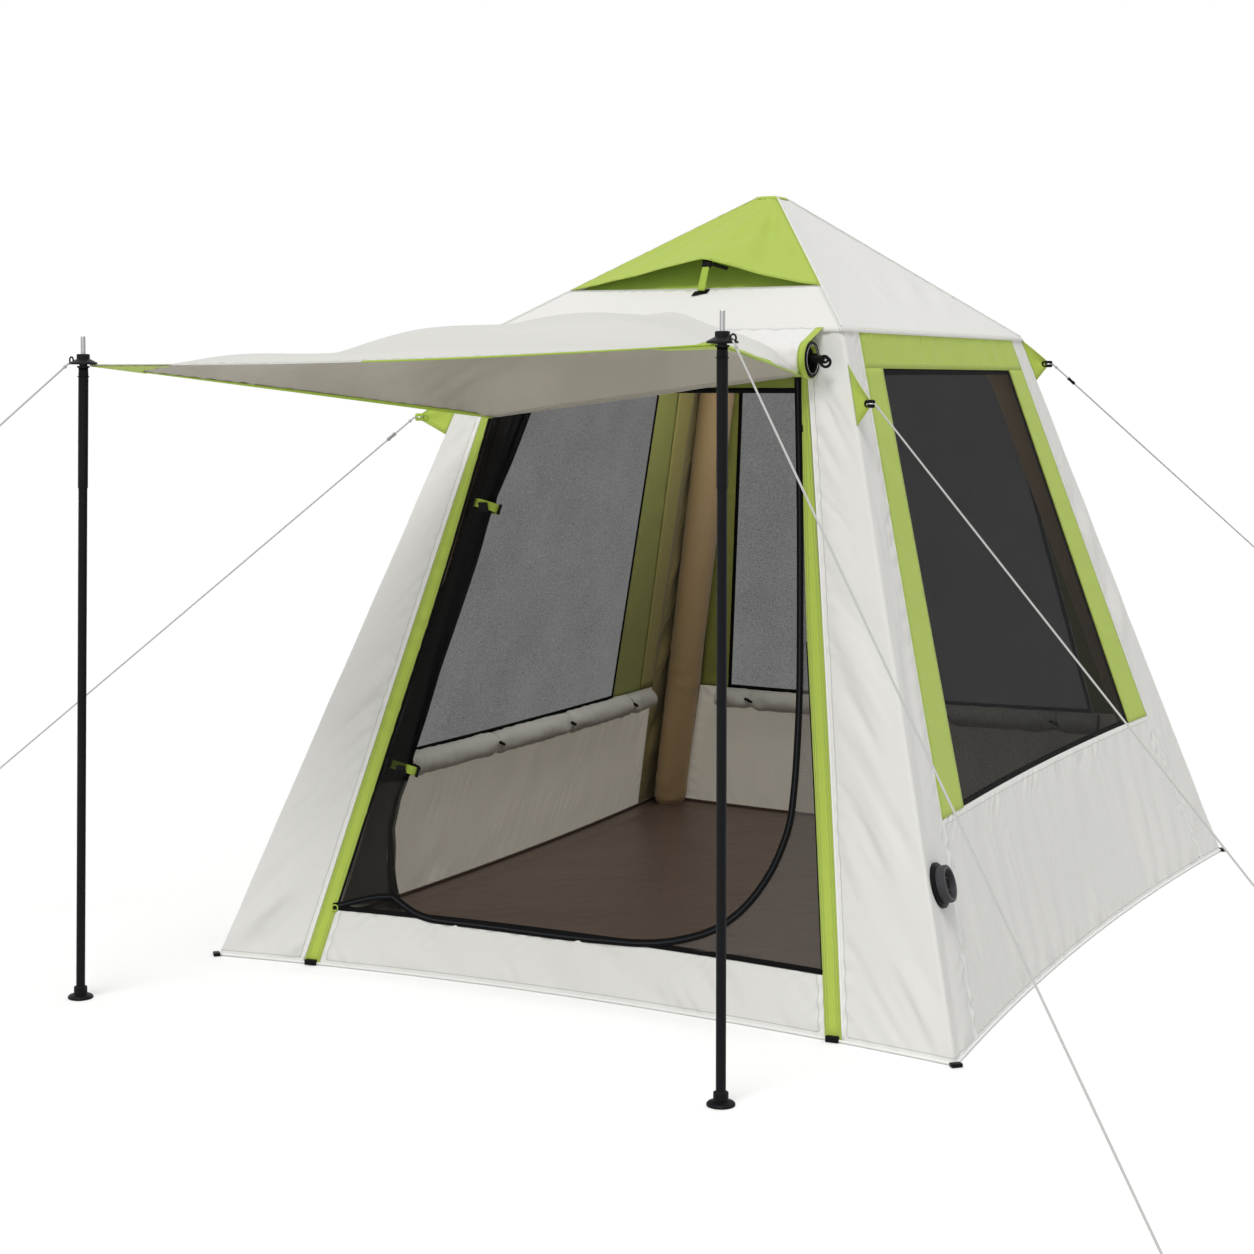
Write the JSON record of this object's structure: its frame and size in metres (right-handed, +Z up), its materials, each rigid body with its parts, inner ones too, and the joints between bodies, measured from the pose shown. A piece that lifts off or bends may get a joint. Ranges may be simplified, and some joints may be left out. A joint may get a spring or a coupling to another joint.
{
  "type": "inflatable gazebo",
  "caption": "Inflatable gazebo tent with a hipped vented roof, net windows, a roll-back net door, a ground sheet and a front awning on two telescopic poles, held out by guy ropes.",
  "frame": {"origin": "middle of the ground sheet's underside, on the ground", "axes": "+Z up; the door and awning face -Y; +X to the right seen from the front"},
  "size_m": [3.8823, 3.9517, 2.2005],
  "materials": {
    "white_polyester": "plain weave, matt",
    "green_polyester": "plain weave, matt",
    "netting": "fine black net",
    "beam_cover": "matt woven cover over an air bladder",
    "floor_sheet": "woven polythene, slight sheen",
    "awning_sheet": "coated, matt",
    "rolled_curtain": "soft, matt",
    "black_plastic": "moulded, fine grain",
    "grey_plastic": "moulded, satin",
    "coated_steel": "black powder coat",
    "bright_steel": "plated wire",
    "guy_cord": "braided cord"
  },
  "bodies": {
    "cabin": {"air_beam_back_left": "beam_cover", "air_beam_back_right": "beam_cover", "air_beam_front_left": "beam_cover", "air_beam_front_right": "beam_cover", "apex_hub": "beam_cover", "awning": "awning_sheet", "corner_sleeve_back_left": "white_polyester", "corner_sleeve_back_right": "white_polyester", "corner_sleeve_front_left": "white_polyester", "corner_sleeve_front_right": "white_polyester", "curtain_roll_back": "rolled_curtain", "curtain_roll_left": "rolled_curtain", "curtain_roll_right": "rolled_curtain", "door_fixed_net": "netting", "door_frame": "green_polyester", "door_net_gathered": "netting", "door_sill": "white_polyester", "door_strap_lower": "green_polyester", "door_strap_upper": "green_polyester", "door_zip": "black_plastic", "ground_sheet": "floor_sheet", "guy_ring_back_left": "bright_steel", "guy_ring_back_right": "bright_steel", "guy_ring_front_left": "bright_steel", "guy_ring_front_right": "bright_steel", "guy_rope_back_right": "guy_cord", "guy_rope_front_left": "guy_cord", "guy_rope_front_right": "guy_cord", "guy_rope_pole_left": "guy_cord", "guy_rope_pole_right": "guy_cord", "header_end_cap": "black_plastic", "header_tube": "white_polyester", "lower_wall_back": "white_polyester", "lower_wall_left": "white_polyester", "lower_wall_right": "white_polyester", "pole_hub_left": "black_plastic", "pole_hub_right": "black_plastic", "roof_canopy": "white_polyester", "valve_flange": "black_plastic", "vent_hood": "green_polyester", "vent_lining": "green_polyester", "window_frame_back": "green_polyester", "window_frame_left": "green_polyester", "window_frame_right": "green_polyester", "window_net_back": "netting", "window_net_left": "netting", "window_net_right": "netting"},
    "pole_left_upper": {"pole_upper_left": "coated_steel"},
    "pole_left_lower": {"pole_lower_left": "coated_steel"},
    "pole_right_upper": {"pole_upper_right": "coated_steel"},
    "pole_right_lower": {"pole_lower_right": "coated_steel"},
    "vent_prop": {"vent_prop": "black_plastic"},
    "zip_slider": {"zip_slider": "black_plastic"},
    "valve_barrel": {"valve_barrel": "grey_plastic"},
    "valve_core": {"valve_core": "black_plastic"},
    "header_plug": {"header_plug": "black_plastic"},
    "toggle_upper": {"toggle_upper": "black_plastic"},
    "toggle_lower": {"toggle_lower": "black_plastic"},
    "tensioner_front_left": {"tensioner_front_left": "black_plastic"},
    "tensioner_back_right": {"tensioner_back_right": "black_plastic"}
  },
  "joints": [
    {"name": "pole_left_tilt", "type": "hinge", "parent": "cabin", "child": "pole_left_upper", "pos_m": [-1.112, -1.889, 1.6507], "axis": [1, 0, 0], "range_deg": [-20, 11]},
    {"name": "pole_left_extend", "type": "slide", "parent": "pole_left_upper", "child": "pole_left_lower", "axis": [0.0212, 0, 0.9998], "range_m": [0, 0.22]},
    {"name": "pole_right_tilt", "type": "hinge", "parent": "cabin", "child": "pole_right_upper", "pos_m": [0.726, -1.889, 1.6907], "axis": [1, 0, 0], "range_deg": [-20, 11]},
    {"name": "pole_right_extend", "type": "slide", "parent": "pole_right_upper", "child": "pole_right_lower", "axis": [0, 0, 1], "range_m": [0, 0.22]},
    {"name": "vent_prop_fold", "type": "hinge", "parent": "cabin", "child": "vent_prop", "pos_m": [0.045, -0.59035, 1.88653], "axis": [1, 0, 0], "range_deg": [-32, 0]},
    {"name": "zip_slide", "type": "slide", "parent": "cabin", "child": "zip_slider", "axis": [0.1232, -0.2941, -0.9478], "range_m": [0, 0.94]},
    {"name": "valve_barrel_turn", "type": "hinge", "parent": "cabin", "child": "valve_barrel", "pos_m": [0.97748, -1.165, 0.38], "axis": [0.9607, 0.0679, 0.2691], "range_deg": [0, 90]},
    {"name": "valve_core_press", "type": "slide", "parent": "valve_barrel", "child": "valve_core", "axis": [-0.9607, -0.0679, -0.2691], "range_m": [0, 0.006], "stiffness_N_per_m": 200},
    {"name": "header_plug_pull", "type": "slide", "parent": "cabin", "child": "header_plug", "axis": [1, 0, 0], "range_m": [0, 0.04]},
    {"name": "toggle_upper_swivel", "type": "hinge", "parent": "cabin", "child": "toggle_upper", "pos_m": [-0.45112, -0.89403, 1.2621], "axis": [0.9841, -0.0533, -0.1695], "continuous": true},
    {"name": "toggle_lower_swivel", "type": "hinge", "parent": "cabin", "child": "toggle_lower", "pos_m": [-0.58607, -1.11998, 0.52741], "axis": [0.9852, -0.0545, -0.1627], "continuous": true},
    {"name": "tensioner_front_left_slide", "type": "slide", "parent": "cabin", "child": "tensioner_front_left", "axis": [-0.7198, -0.2732, -0.6382], "range_m": [-0.05, 0.6]},
    {"name": "tensioner_back_right_slide", "type": "slide", "parent": "cabin", "child": "tensioner_back_right", "axis": [0.5412, 0.5651, -0.6227], "range_m": [-0.05, 0.6]}
  ]
}
